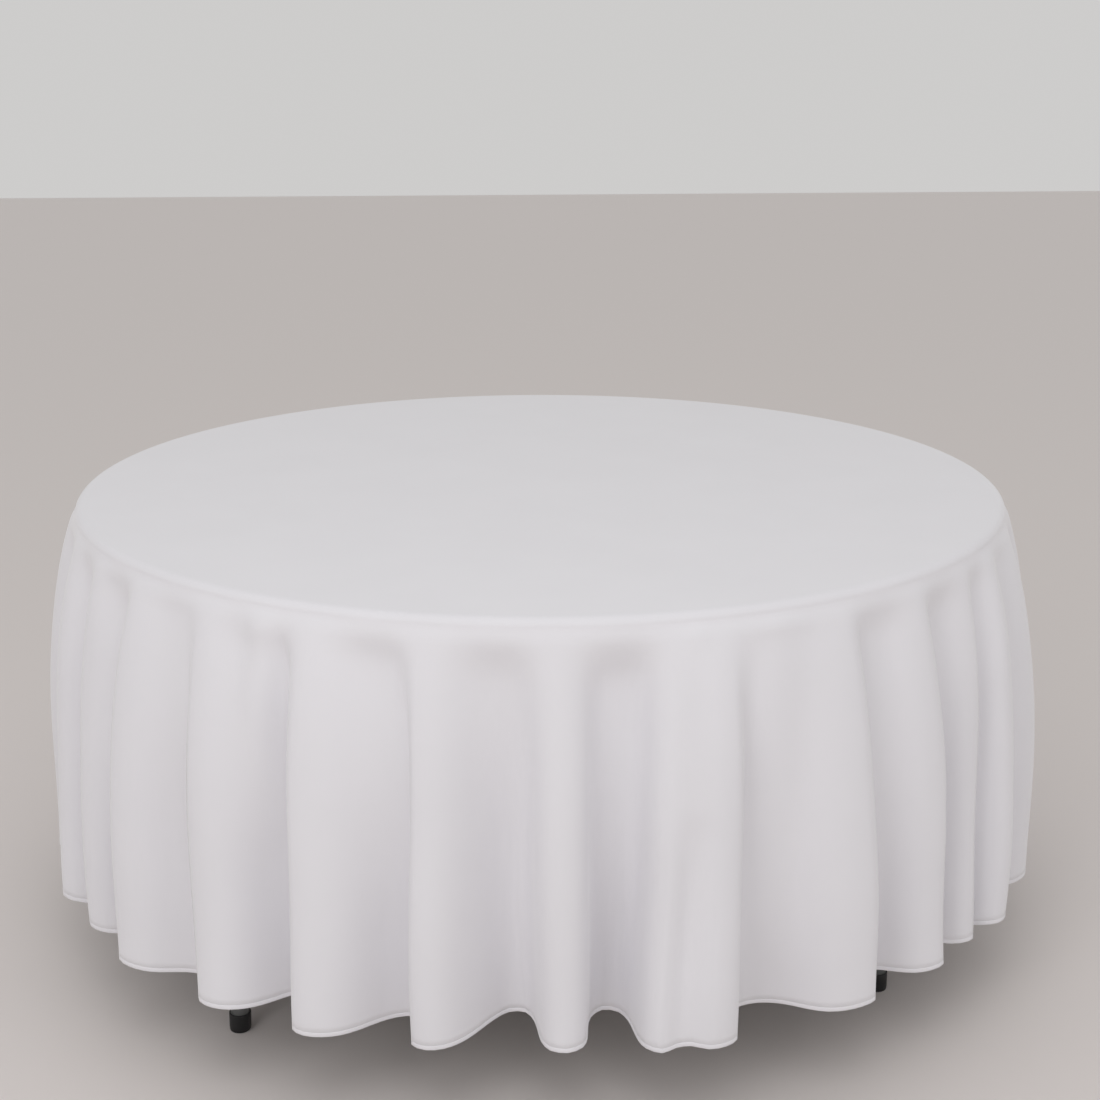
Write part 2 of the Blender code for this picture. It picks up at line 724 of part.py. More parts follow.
def build_brace(side, steel, zinc):
    sign = SIDE[side]
    low = Vector((sign * (PIVOT_X - LOWER_PIN.x), 0, PIVOT_Z + LOWER_PIN.y))
    high = Vector((sign * ANCHOR_X, 0, PIVOT_Z + PIN_OFFSET))
    rise = -BRACE_SLOPE if sign < 0 else pi + BRACE_SLOPE
    lower_axis = joint_frame("lower_brace_axis_" + side, low, rise)
    lower_brace("lower_brace_" + side, steel, lower_axis)
    upper_axis = joint_frame("upper_brace_axis_" + side, high, rise + pi)
    for word, y in (("front", -STRAP_INNER - STRAP_WALL), ("back", STRAP_INNER)):
        brace_strap(f"brace_strap_{side}_{word}", y, steel, upper_axis)
    strap_spacer("strap_spacer_" + side, steel, upper_axis)
    for word, way in (("front", -1), ("back", 1)):
        knee_rivet(f"knee_rivet_{side}_{word}", way, zinc, upper_axis)


def main():
    clear_scene()
    plastic = material("moulded_top", (0.78, 0.77, 0.73), 0.55)
    steel = material("grey_steel", (0.33, 0.34, 0.36), 0.40, 0.6)
    zinc = material("zinc", (0.62, 0.62, 0.60), 0.35, 0.9)
    rubber = material("black_caps", (0.015, 0.015, 0.016), 0.50)
    linen = material("white_cloth", (0.80, 0.80, 0.81), 0.85)
    hem = material("white_hem", (0.82, 0.82, 0.83), 0.85)
    build_root(plastic, steel, zinc)
    for side in SIDE:
        build_leg_frame(side, steel, zinc, rubber)
        build_brace(side, steel, zinc)
    tablecloth(linen)
    tablecloth_hem(hem)


main()
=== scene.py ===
"""Round folding table under a draped white tablecloth: finished pieces, materials and stage.

Lengths are metres, +Z is up, the origin is on the floor under the centre of the table and
-Y is the front. Azimuths are degrees from the front (-Y) towards +X.
"""

import json

import bmesh
import bpy
import numpy as np
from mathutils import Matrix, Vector


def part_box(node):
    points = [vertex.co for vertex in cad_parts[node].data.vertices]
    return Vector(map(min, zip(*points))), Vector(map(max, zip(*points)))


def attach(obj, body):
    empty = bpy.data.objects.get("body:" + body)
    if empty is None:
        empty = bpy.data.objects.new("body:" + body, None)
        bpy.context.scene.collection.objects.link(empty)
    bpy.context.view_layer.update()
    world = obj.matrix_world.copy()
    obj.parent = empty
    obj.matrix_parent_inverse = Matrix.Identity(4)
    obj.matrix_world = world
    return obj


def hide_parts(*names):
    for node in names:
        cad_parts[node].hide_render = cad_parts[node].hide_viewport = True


bl_info = {
    "name": "Draped round table",
    "version": (1, 0, 0),
    "blender": (4, 5, 0),
    "location": "3D View > Sidebar > Draped Table",
    "description": "Builds a draped tablecloth and the folding table that carries it",
    "category": "Add Mesh",
}

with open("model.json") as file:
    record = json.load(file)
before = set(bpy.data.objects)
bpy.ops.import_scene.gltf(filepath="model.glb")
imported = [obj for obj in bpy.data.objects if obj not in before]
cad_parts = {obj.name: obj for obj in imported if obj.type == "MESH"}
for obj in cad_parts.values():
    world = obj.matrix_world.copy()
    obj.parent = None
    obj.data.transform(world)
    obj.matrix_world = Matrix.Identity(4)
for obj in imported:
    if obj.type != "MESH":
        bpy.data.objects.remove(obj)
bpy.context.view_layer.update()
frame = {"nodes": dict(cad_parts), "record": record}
TOP_LOW, TOP_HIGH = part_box("table_top")

TAU = 2.0 * np.pi
TABLE_RADIUS = float(TOP_HIGH.x)
TABLE_HEIGHT = float(TOP_HIGH.z)
RIM_ROUND = 0.012
CLOTH_TOP = float(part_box("tablecloth")[1].z)

# the folding table's own measures
LIP_ROUND = 0.004
LIP_WIDTH = 0.022
PANEL = 0.040
PIVOT_X = 0.480
PIVOT_Z = 0.650
FOOT_X = 0.499
HALF_WIDTHS = (0.471, 0.437)
TUBE_RADIUS = 0.0143
TUBE_WALL = 0.0015
TUBE_SIDES = 40
BEND_RADIUS = 0.060
CROSS_DROP = 0.270
SPLAY = float(np.arctan2(FOOT_X - PIVOT_X, PIVOT_Z))
LEG_LENGTH = PIVOT_Z / float(np.cos(SPLAY))
CAP_HEIGHT = 0.030
CAP_SOLE = 0.005
CAP_WAIST = 0.0166
CAP_SIDES = 48
TOP_SIDES = 256

# ridges of the hanging folds in front, as (azimuth at the rim, azimuth at the hem, radius at the
# hem, how far the ridge leans over its own flank in degrees)
FRONT_RIDGES = (
    (-70.5, -69.4, 0.834, -1.5),
    (-61.5, -61.4, 0.827, -1.5),
    (-51.4, -51.8, 0.843, -2.5),
    (-40.2, -38.6, 0.834, -3.0),
    (-27.8, -27.8, 0.830, -3.2),
    (-15.8, -15.6, 0.816, -3.6),
    (-3.2, -2.5, 0.808, 0.3),
    (9.2, 7.2, 0.828, -1.0),
    (12.2, 11.2, 0.838, 2.2),
    (26.4, 28.9, 0.834, 2.6),
    (37.5, 40.4, 0.828, 2.2),
    (47.3, 47.8, 0.818, 1.5),
    (54.3, 52.8, 0.842, 1.0),
    (64.3, 65.1, 0.842, 1.5),
)
# minor ridges inside the valleys, as (azimuth, swell, width in degrees, shares of the drop where
# they start and end)
MINOR_RIDGES = (
    (19.0, 0.012, 2.2, 0.0, 0.9),
    (-33.4, 0.022, 1.5, 0.02, 0.62),
    (118.0, 0.009, 2.4, 0.0, 0.50),
    (197.0, 0.010, 2.4, 0.0, 0.60),
    (243.0, 0.009, 2.4, 0.0, 0.70),
)
BACK_RIDGES = 19
FOLD_POINTS = 32            # points of one fold in a row
RIM_GAP = 0.0036            # from the top's edge to where a ridge starts to hang
SWELL_RATE = 3.4            # how soon below the rim the ridges reach out
DEEPEST_VALLEY = 0.11
VALLEY_ROUNDING = 0.010     # width of the change between the two rules for a valley
VALLEY_START = 0.012        # how far below the bend a valley may start
VALLEY_EASE = 0.026
VALLEY_SLOPE = 0.52
STEEPEST_STEP = 0.55        # least share of a row's cloth that goes into its fall
WANDER = 0.004              # radians by which a ridge strays sideways on its way down
BREATHING = 0.003           # metres by which it strays in and out

# the drape's grid: columns round the cloth, rows down the skirt, first row that is doubled
COLUMNS = 336
SKIRT_ROWS = 24
FIRST_DOUBLED = 6

HEM_OVERHANG = 0.0006       # how far the hem's fold passes the cloth's edge
STITCH_INSET = 0.0022       # from the hem's upper fold down to the stitches

FLOOR_HALF = 16.0
CAMERA_PLACE = (-0.2322, -2.8423, 1.4254)
CAMERA_TURN = (90.0 - 15.91, 0.0, -4.987)
CAMERA_LENS = 56.65


# ---------------------------------------------------------------- settings

class DrapedClothSettings(bpy.types.PropertyGroup):
    """Cut, thickness, hem and colour of the cloth"""

    flat_radius: bpy.props.FloatProperty(
        name="Cut radius", description="Radius of the round cloth laid flat, hem included",
        default=1.358, min=0.9, max=2.0, unit="LENGTH")
    thickness: bpy.props.FloatProperty(
        name="Thickness", description="Thickness of the woven cloth",
        default=0.0008, min=0.0003, max=0.003, unit="LENGTH")
    hem_width: bpy.props.FloatProperty(
        name="Hem width", description="Height of the turned and stitched hem",
        default=0.007, min=0.004, max=0.04, unit="LENGTH")
    stitch_pitch: bpy.props.FloatProperty(
        name="Stitch pitch", description="Distance from one hem stitch to the next",
        default=0.004, min=0.002, max=0.02, unit="LENGTH")
    colour: bpy.props.FloatVectorProperty(
        name="Cloth colour", description="Colour of the white polyester",
        default=(0.81, 0.80, 0.835), min=0.0, max=1.0, size=3, subtype="COLOR")


class FoldingTableSettings(bpy.types.PropertyGroup):
    """Finishes of the table under the cloth"""

    top_colour: bpy.props.FloatVectorProperty(
        name="Top colour", description="Colour of the moulded table top",
        default=(0.62, 0.61, 0.57), min=0.0, max=1.0, size=3, subtype="COLOR")
    steel_colour: bpy.props.FloatVectorProperty(
        name="Steel colour", description="Colour of the powder-coated tubes",
        default=(0.22, 0.225, 0.225), min=0.0, max=1.0, size=3, subtype="COLOR")
    cap_colour: bpy.props.FloatVectorProperty(
        name="Foot cap colour", description="Colour of the moulded foot caps",
        default=(0.007, 0.007, 0.008), min=0.0, max=1.0, size=3, subtype="COLOR")


class StudioSettings(bpy.types.PropertyGroup):
    """Floor, light and camera"""

    floor_colour: bpy.props.FloatVectorProperty(
        name="Floor colour", description="Colour of the plain floor",
        default=(0.77, 0.72, 0.70), min=0.0, max=1.0, size=3, subtype="COLOR")
    key_power: bpy.props.FloatProperty(
        name="Key light", description="Power of the large soft light in front",
        default=42.0, min=0.0, max=2000.0, unit="POWER")
    surround: bpy.props.FloatProperty(
        name="Surround", description="Brightness of the even light from all round",
        default=0.66, min=0.0, max=5.0)


# ---------------------------------------------------------------- mesh helpers

def new_piece(name, points, faces, material, smooth=True):
    """Mesh object from points and faces; faces is one array, or one array per corner count."""
    groups = faces if isinstance(faces, list) else [faces]
    corners = np.concatenate([np.asarray(group, np.int32).ravel() for group in groups])
    counts = np.concatenate([np.full(len(group), group.shape[1]) for group in groups])
    mesh = bpy.data.meshes.new(name)
    mesh.vertices.add(len(points))
    mesh.vertices.foreach_set("co", np.asarray(points, np.float32).ravel())
    mesh.loops.add(len(corners))
    mesh.loops.foreach_set("vertex_index", corners)
    mesh.polygons.add(len(counts))
    mesh.polygons.foreach_set("loop_start", (np.cumsum(counts) - counts).astype(np.int32))
    mesh.polygons.foreach_set("use_smooth", np.full(len(counts), smooth))
    mesh.update(calc_edges=True)
    mesh.validate()
    piece = bpy.data.objects.new(name, mesh)
    bpy.context.scene.collection.objects.link(piece)
    mesh.materials.append(material)
    return piece


def grid_faces(rows, columns, closed=True):
    """Quads of a grid whose points run along each row; closed also joins each row's ends."""
    i = np.arange(rows - 1)[:, None]
    j = np.arange(columns if closed else columns - 1)[None, :]
    k = (j + 1) % columns
    a = i * columns + j
    b = i * columns + k
    c = (i + 1) * columns + k
    d = (i + 1) * columns + j
    return np.stack([a, d, c, b], axis=-1).reshape(-1, 4)


# ---------------------------------------------------------------- materials

def shader_of(material):
    """The material's one surface shader."""
    return material.node_tree.nodes["Principled BSDF"]


def plain_finish(name, colour, roughness, metallic=0.0):
    """Finish of one colour, roughness and metallic share."""
    material = bpy.data.materials.new(name)
    material.use_nodes = True
    shader = shader_of(material)
    shader.inputs["Base Color"].default_value = (*colour, 1.0)
    shader.inputs["Roughness"].default_value = roughness
    shader.inputs["Metallic"].default_value = metallic
    return material


def add_node(material, kind, **inputs):
    """Adds a node and sets the inputs named, with _ for a space."""
    node = material.node_tree.nodes.new(kind)
    for name, value in inputs.items():
        node.inputs[name.replace("_", " ")].default_value = value
    return node


def object_coordinates(material):
    """Output with the object's own coordinates."""
    return add_node(material, "ShaderNodeTexCoord").outputs["Object"]


def add_bump(material, height, strength, distance):
    """Bumps the surface by a height, as deep as distance says in metres."""
    bump = add_node(material, "ShaderNodeBump", Strength=strength, Distance=distance)
    link = material.node_tree.links.new
    link(height, bump.inputs["Height"])
    link(bump.outputs["Normal"], shader_of(material).inputs["Normal"])


def woven_cloth(name, colour):
    """White polyester: a plain weave along the flat cloth's own two thread directions, fine slubs
    in the yarn, a slightly uneven colour and a faint sheen."""
    material = plain_finish(name, colour, 0.78)
    shader = shader_of(material)
    shader.inputs["Sheen Weight"].default_value = 0.6
    shader.inputs["Sheen Roughness"].default_value = 0.4
    shader.inputs["Specular IOR Level"].default_value = 0.25
    link = material.node_tree.links.new
    flat = add_node(material, "ShaderNodeUVMap")
    flat.uv_map = "flat_cloth"
    heights = []
    for direction in ("X", "Y"):
        threads = add_node(material, "ShaderNodeTexWave", Scale=220.0, Distortion=0.4, Detail=1.0)
        threads.bands_direction = direction
        link(flat.outputs["UV"], threads.inputs["Vector"])
        heights.append(threads.outputs["Fac"])
    crossing = add_node(material, "ShaderNodeMath")
    crossing.operation = "MULTIPLY"
    link(heights[0], crossing.inputs[0])
    link(heights[1], crossing.inputs[1])
    slubs = add_node(material, "ShaderNodeTexNoise", Scale=900.0, Detail=2.0)
    link(flat.outputs["UV"], slubs.inputs["Vector"])
    weave = add_node(material, "ShaderNodeMath")
    weave.operation = "ADD"
    link(crossing.outputs[0], weave.inputs[0])
    link(slubs.outputs["Fac"], weave.inputs[1])
    add_bump(material, weave.outputs[0], 0.10, 0.0002)
    clouds = add_node(material, "ShaderNodeTexNoise", Scale=6.0, Detail=3.0)
    link(flat.outputs["UV"], clouds.inputs["Vector"])
    shade = add_node(material, "ShaderNodeValToRGB")
    shade.color_ramp.elements[0].position = 0.35
    shade.color_ramp.elements[0].color = (*[0.985 * c for c in colour], 1.0)
    shade.color_ramp.elements[1].position = 0.65
    shade.color_ramp.elements[1].color = (*colour, 1.0)
    link(clouds.outputs["Fac"], shade.inputs["Fac"])
    link(shade.outputs["Color"], shader.inputs["Base Color"])
    return material


def sewing_thread(name, colour):
    """White polyester thread with a twisted surface."""
    material = plain_finish(name, colour, 0.6)
    twist = add_node(material, "ShaderNodeTexWave", Scale=1500.0)
    twist.bands_direction = "DIAGONAL"
    material.node_tree.links.new(object_coordinates(material), twist.inputs["Vector"])
    add_bump(material, twist.outputs["Fac"], 0.2, 0.0001)
    return material


def grained(name, colour, roughness, scale, depth, metallic=0.0, spread=0.06):
    """Finish with a fine cast grain, a slightly uneven colour and uneven gloss."""
    material = plain_finish(name, colour, roughness, metallic)
    link = material.node_tree.links.new
    place = object_coordinates(material)
    grain = add_node(material, "ShaderNodeTexNoise", Scale=scale, Detail=4.0)
    link(place, grain.inputs["Vector"])
    add_bump(material, grain.outputs["Fac"], 0.35, depth)
    clouds = add_node(material, "ShaderNodeTexNoise", Scale=9.0, Detail=4.0)
    link(place, clouds.inputs["Vector"])
    tint = add_node(material, "ShaderNodeValToRGB")
    tint.color_ramp.elements[0].position = 0.3
    tint.color_ramp.elements[0].color = (*[(1.0 - spread) * c for c in colour], 1.0)
    tint.color_ramp.elements[1].position = 0.7
    tint.color_ramp.elements[1].color = (*[min(1.0, (1.0 + spread) * c) for c in colour], 1.0)
    link(clouds.outputs["Fac"], tint.inputs["Fac"])
    link(tint.outputs["Color"], shader_of(material).inputs["Base Color"])
    gloss = add_node(material, "ShaderNodeMapRange")
    gloss.inputs["To Min"].default_value = roughness * 0.88
    gloss.inputs["To Max"].default_value = min(1.0, roughness * 1.12)
    link(clouds.outputs["Fac"], gloss.inputs["Value"])
    link(gloss.outputs["Result"], shader_of(material).inputs["Roughness"])
    return material


# ---------------------------------------------------------------- the drape

def ridge_table():
    """Rim and hem azimuths in radians, hem radii and leans of every ridge, in order.

    The front ridges are given; the others divide what is left into steps of uneven length,
    each step longer or shorter by a sine of its number, and so are their radii and leans.
    """
    front = np.array(FRONT_RIDGES)
    steps = np.arange(BACK_RIDGES + 1)
    lengths = 1.0 + 0.17 * np.sin(2.4 * steps + 0.5) + 0.07 * np.sin(1.1 * steps)
    left = 360.0 + front[0, 0] - front[-1, 0]
    back = front[-1, 0] + left * np.cumsum(lengths)[:-1] / lengths.sum()
    radii = 0.828 + 0.014 * np.sin(1.9 * steps[:-1])
    drift = 1.2 * np.sin(2.9 * steps[:-1] + 1.0)
    lean = 2.8 * np.sin(1.7 * steps[:-1] + 0.4)
    rim = np.radians(np.concatenate([front[:, 0], back]))
    hem = np.radians(np.concatenate([front[:, 1], back + drift]))
    leans = np.radians(np.concatenate([front[:, 3], lean]))
    return rim, hem, np.concatenate([front[:, 2], radii]), leans


def valley_shape(u, power):
    """Height of a fold's flank from 1 on the ridge (u = 0) to 0 in the valley (u = 1)."""
    return (0.5 + 0.5 * np.cos(np.pi * u)) ** power


def fold_lines(ridge_angle, ridge_radius, valley_radius, lean, power, crowding):
    """One row of the folded cloth seen from above, as the angles and radii of its points.

    Between two ridges the radius falls from the first to the valley and rises to the second,
    both as powers of a raised cosine. The angle advances as u + crowding sin(2 pi u) / pi, which
    crowds the flanks together, and each ridge leans sideways in proportion to its height, so one
    flank is as steep as a hanging fold's and the other runs out gently.
    """
    u = np.linspace(0.0, 2.0, FOLD_POINTS, endpoint=False)
    foot = ridge_angle - lean
    ahead = np.append(foot[1:], foot[0] + TAU)
    advance = u / 2.0 + crowding * np.sin(TAU * u) / TAU
    first = u[None, :] < 1.0
    near = np.where(first, ridge_radius[:, None], np.roll(ridge_radius, -1)[:, None])
    leaning = np.where(first, lean[:, None], np.roll(lean, -1)[:, None])
    height = valley_shape(np.where(u < 1.0, u, 2.0 - u), power)[None, :]
    angles = foot[:, None] + (ahead - foot)[:, None] * advance[None, :] + leaning * height
    return angles, valley_radius[:, None] + (near - valley_radius[:, None]) * height


def line_lengths(angles, radii):
    """Lengths of the pieces from each point to the next, closing the row."""
    x = (radii * np.sin(angles)).ravel()
    y = (-radii * np.cos(angles)).ravel()
    return np.hypot(np.roll(x, -1) - x, np.roll(y, -1) - y).reshape(angles.shape)


def folded_row(out, depth_share, free_in, ridges, columns):
    """X and Y of one row of the skirt, evenly spaced along the cloth.

    out is the row's distance from the cloth's centre when it lies flat. The ridges swell from
    the rim to the hem as 1 - exp(-rate t), and each valley is as deep as the length of cloth
    between its ridges asks for, found by halving. Just under the rim a valley is no deeper than
    free_in, with a rounded change from one rule to the other, so those rows come out a little
    short. Each minor ridge adds a bell curve that fades in and out between its two shares.
    """
    rim, hem, hem_radius, leans = ridges
    rest = TABLE_RADIUS + RIM_GAP
    swell = (1.0 - np.exp(-SWELL_RATE * depth_share)) / (1.0 - np.exp(-SWELL_RATE))
    ease = depth_share ** 0.8
    number = np.arange(len(rim))
    wander = WANDER * np.sin(6.0 * depth_share + 2.3 * number) * np.sin(np.pi * depth_share)
    angle = rim + (hem - rim) * ease + wander
    ridge = rest + (hem_radius - rest) * swell
    ridge = ridge + BREATHING * depth_share * np.sin(8.0 * depth_share + 1.7 * number)
    power = 1.0 + 0.25 * (1.0 - depth_share) ** 3
    crowding = 0.34 * (1.0 - np.exp(-4.0 * depth_share))
    lean = leans * (1.0 - np.exp(-7.0 * depth_share))
    wanted = out * (np.append(rim[1:], rim[0] + TAU) - rim)
    low = np.full(len(rim), rest - DEEPEST_VALLEY)
    high = np.minimum(ridge, np.roll(ridge, -1))
    for _ in range(24):
        middle = 0.5 * (low + high)
        angles, radii = fold_lines(angle, ridge, middle, lean, power, crowding)
        short = line_lengths(angles, radii).sum(axis=1) < wanted
        high = np.where(short, middle, high)
        low = np.where(short, low, middle)
    slack, limit = 0.5 * (low + high), rest - free_in
    valley = 0.5 * (slack + limit + np.hypot(slack - limit, VALLEY_ROUNDING))
    angles, radii = fold_lines(angle, ridge, valley, lean, power, crowding)
    for place, size, width, start, end in MINOR_RIDGES:
        along = np.clip((depth_share - start) / (end - start), 0.0, 1.0)
        fade = np.sin(np.pi * along ** 0.6) ** 0.8
        away = (angles - np.radians(place) + np.pi) % TAU - np.pi
        radii = radii + size * fade * np.exp(-0.5 * (away / np.radians(width)) ** 2)
    pieces = line_lengths(angles, radii)
    start = np.concatenate([[0.0], np.cumsum(pieces)])
    marks = start[:: angles.shape[1]]
    cloth = np.interp(start, marks, np.append(rim, rim[0] + TAU))
    x = np.append((radii * np.sin(angles)).ravel(), radii[0, 0] * np.sin(angles[0, 0]))
    y = np.append((-radii * np.cos(angles)).ravel(), -radii[0, 0] * np.cos(angles[0, 0]))
    wanted_angle = rim[0] + TAU * np.arange(columns) / columns
    return np.interp(wanted_angle, cloth, x), np.interp(wanted_angle, cloth, y)


def drape_grid(settings, columns, skirt_rows):
    """Points of the draped cloth and of the same cloth laid flat, row by row from the middle out.

    The top rows are circles at the top's height, the next rows follow a quarter round over the
    rim, and the skirt rows are folded, closer together near the rim. A skirt point hangs as far
    below the point above it as its length of cloth leaves after its sideways step (Pythagoras),
    but by no less than a fixed share of that length.
    """
    ridges = ridge_table()
    under = CLOTH_TOP - settings.thickness
    bend = RIM_ROUND + under - TABLE_HEIGHT
    edge = TABLE_RADIUS - RIM_ROUND
    flat_rows = np.array([0.004, 0.25, 0.50, 0.66, 0.72, edge - 0.008, edge])
    turns = np.linspace(0.0, np.pi / 2, 5)[1:]
    start = edge + bend * np.pi / 2
    share = np.linspace(0.0, 1.0, skirt_rows + 1)[1:]
    share = 0.45 * share ** 1.6 + 0.55 * share
    drop = settings.flat_radius - start
    outs = np.concatenate([flat_rows, edge + bend * turns, start + drop * share])
    angle = ridges[0][0] + TAU * np.arange(columns) / columns
    points = np.zeros((len(outs), columns, 3))
    top = len(flat_rows)
    radius = np.concatenate([flat_rows, edge + bend * np.sin(turns)])
    points[: len(radius), :, 0] = radius[:, None] * np.sin(angle)
    points[: len(radius), :, 1] = -radius[:, None] * np.cos(angle)
    points[:top, :, 2] = under
    points[top : len(radius), :, 2] = (under - bend + bend * np.cos(turns))[:, None]
    for k in range(len(radius), len(outs)):
        t = share[k - len(radius)]
        hung = max(0.0, t * drop - VALLEY_START)
        free_in = VALLEY_SLOPE * (np.hypot(hung, VALLEY_EASE) - VALLEY_EASE)
        points[k, :, 0], points[k, :, 1] = folded_row(outs[k], t, free_in, ridges, columns)
        sideways = np.linalg.norm(points[k, :, :2] - points[k - 1, :, :2], axis=1)
        step = outs[k] - outs[k - 1]
        fall = np.sqrt(np.maximum(step**2 - sideways**2, (STEEPEST_STEP * step) ** 2))
        points[k, :, 2] = points[k - 1, :, 2] - fall
    flat = np.zeros_like(points)
    flat[:, :, 0] = outs[:, None] * np.sin(angle)
    flat[:, :, 1] = -outs[:, None] * np.cos(angle)
    flat[:, :, 2] = under
    return points, flat


def between(values):
    """Points half way between each value and the next, on a smooth curve through four of them."""
    before = np.concatenate([2.0 * values[:1] - values[1:2], values[:-2]])
    after = np.concatenate([values[2:], 2.0 * values[-1:] - values[-2:-1]])
    return (9.0 * (values[:-1] + values[1:]) - before - after) / 16.0


def refine(rows, first):
    """Doubles the points along every row and, from row first on, the rows as well."""
    wrapped = np.concatenate([rows[:, -2:], rows, rows[:, :3]], axis=1)
    middles = between(wrapped.swapaxes(0, 1)).swapaxes(0, 1)[:, 2:-2]
    fine = np.empty((rows.shape[0], rows.shape[1] * 2, 3))
    fine[:, 0::2] = rows
    fine[:, 1::2] = middles
    hanging = fine[first:]
    dense = np.empty((2 * len(hanging) - 1, fine.shape[1], 3))
    dense[0::2] = hanging
    dense[1::2] = between(hanging)
    return np.concatenate([fine[:first], dense])


def flat_cloth_map(mesh, flat):
    """Gives a mesh the UV map that says where each point lies on the flat cloth, in metres."""
    layer = mesh.uv_layers.new(name="flat_cloth")
    index = np.empty(len(mesh.loops), np.int32)
    mesh.loops.foreach_get("vertex_index", index)
    layer.data.foreach_set("uv", flat[index][:, :2].astype(np.float32).ravel())


def hem_band(rows, settings, material, flat_rows):
    """Turned hem: a flat tube with rounded corners carried round the cloth's lower edge.

    Its section starts a little below the last row, goes a hem's width up along the cloth, and
    reaches half a hem's thickness to each side along the cloth's normal.
    """
    edge, above = rows[-1], rows[-2]
    up = above - edge
    up /= np.linalg.norm(up, axis=1)[:, None]
    along = np.roll(edge, -1, axis=0) - np.roll(edge, 1, axis=0)
    along /= np.linalg.norm(along, axis=1)[:, None]
    out = np.cross(along, up)
    out /= np.linalg.norm(out, axis=1)[:, None]
    half = settings.thickness * 1.15
    width = settings.hem_width
    corner = half * 0.6
    section = np.array([
        (half, corner), (half, width - corner), (half * 0.5, width), (-half * 0.5, width),
        (-half, width - corner), (-half, corner), (-half * 0.6, 0.0), (half * 0.6, 0.0),
    ])
    sides, heights = section.T[:, :, None, None]
    points = edge[None] + sides * out[None] + (heights - HEM_OVERHANG) * up[None]
    count = len(edge)
    faces = grid_faces(len(section) + 1, count)
    faces = np.where(faces >= len(section) * count, faces - len(section) * count, faces)
    piece = new_piece("turned_hem", points.reshape(-1, 3), faces, material)
    flat = np.broadcast_to(flat_rows[-1], (len(section), count, 3)).reshape(-1, 3)
    flat_cloth_map(piece.data, flat)
    return piece, (edge, up, out, half)


def hem_stitches(frame_of_hem, settings, material):
    """Stitches along the hem, on both faces: each a flat six-point spindle laid along the edge.

    Their middles are evenly spaced by length along the edge, a little below the hem's upper fold.
    """
    edge, up, out, half = frame_of_hem
    step = np.linalg.norm(np.roll(edge, -1, axis=0) - edge, axis=1)
    way = np.concatenate([[0.0], np.cumsum(step)])
    count = int(way[-1] / settings.stitch_pitch)
    marks = way[-1] * (np.arange(count) + 0.5) / count

    def at(values, place):
        """Values at places along the closed edge, taken in straight lines between its points."""
        closed = np.concatenate([values, values[:1]])
        return np.stack([np.interp(place % way[-1], way, closed[:, k]) for k in range(3)], axis=-1)

    length = settings.stitch_pitch * 0.72
    pieces = []
    for face in (1.0, -1.0):
        middle = at(edge, marks) + at(up, marks) * (settings.hem_width - STITCH_INSET)
        ahead = at(edge, marks + 0.5 * length) - at(edge, marks - 0.5 * length)
        ahead /= np.linalg.norm(ahead, axis=1)[:, None]
        side = at(up, marks)
        rise = at(out, marks) * face
        seat = middle + rise * (half - 0.00005)
        pieces.append(np.stack([
            seat - ahead * length / 2, seat + ahead * length / 2,
            seat + side * 0.00035, seat - side * 0.00035,
            seat + rise * 0.00032, seat - rise * 0.0001,
        ], axis=1))
    points = np.concatenate(pieces).reshape(-1, 3)
    spindle = np.array([
        (0, 4, 2), (0, 3, 4), (1, 2, 4), (1, 4, 3), (0, 2, 5), (0, 5, 3), (1, 5, 2), (1, 3, 5),
    ])
    faces = (spindle[None] + 6 * np.arange(2 * count)[:, None, None]).reshape(-1, 3)
    faces[len(faces) // 2 :] = faces[len(faces) // 2 :, ::-1]
    return new_piece("hem_stitches", points, faces, material, smooth=False)


class DRAPED_OT_tablecloth(bpy.types.Operator):
    """Drapes the round cloth over the table and sews its hem"""

    bl_idname = "draped.tablecloth"
    bl_label = "Drape the tablecloth"

    def execute(self, context):
        settings = context.scene.draped_cloth
        rows, flat = drape_grid(settings, COLUMNS, SKIRT_ROWS)
        rows, flat = refine(rows, FIRST_DOUBLED), refine(flat, FIRST_DOUBLED)
        # painted highlight: the hem's cloth is the same white polyester made 2 per cent lighter,
        # for the light caught along the turned edge; the thread is made 4 per cent lighter than the
        # cloth
        hem_colour_painted_highlight, thread_colour = (
            [min(1.0, share * c) for c in settings.colour] for share in (1.02, 1.04))
        cloth_finish = woven_cloth("white_polyester", settings.colour[:])
        hem_finish_painted_highlight = woven_cloth("white_polyester_hem_painted_highlight", hem_colour_painted_highlight)
        thread = sewing_thread("white_thread", thread_colour)
        piece = new_piece(
            "draped_cloth", rows.reshape(-1, 3), grid_faces(*rows.shape[:2]), cloth_finish
        )
        close_centre(piece, rows.shape[1])
        flat_cloth_map(piece.data, np.concatenate([flat.reshape(-1, 3), [[0.0, 0.0, 0.0]]]))
        thicken = piece.modifiers.new("thickness", "SOLIDIFY")
        thicken.thickness = settings.thickness
        thicken.offset = 1.0
        band, hem_frame = hem_band(rows, settings, hem_finish_painted_highlight, flat)
        stitches = hem_stitches(hem_frame, settings, thread)
        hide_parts("tablecloth")
        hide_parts("tablecloth_hem")
        for part, slot in ((piece, "cloth"), (band, "cloth_hem"), (stitches, "cloth_hem")):
            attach(part, "tablecloth")
        return {"FINISHED"}


def close_centre(piece, columns):
    """Closes the small round hole in the middle of the cloth with a fan of triangles."""
    bm = bmesh.new()
    bm.from_mesh(piece.data)
    bm.verts.ensure_lookup_table()
    ring = [bm.verts[i] for i in range(columns)]
    middle = bm.verts.new((0.0, 0.0, ring[0].co.z))
    for i, vert in enumerate(ring):
        face = bm.faces.new((middle, vert, ring[(i + 1) % columns]))
        face.smooth = True
    bm.to_mesh(piece.data)
    bm.free()


# ---------------------------------------------------------------- the folding table

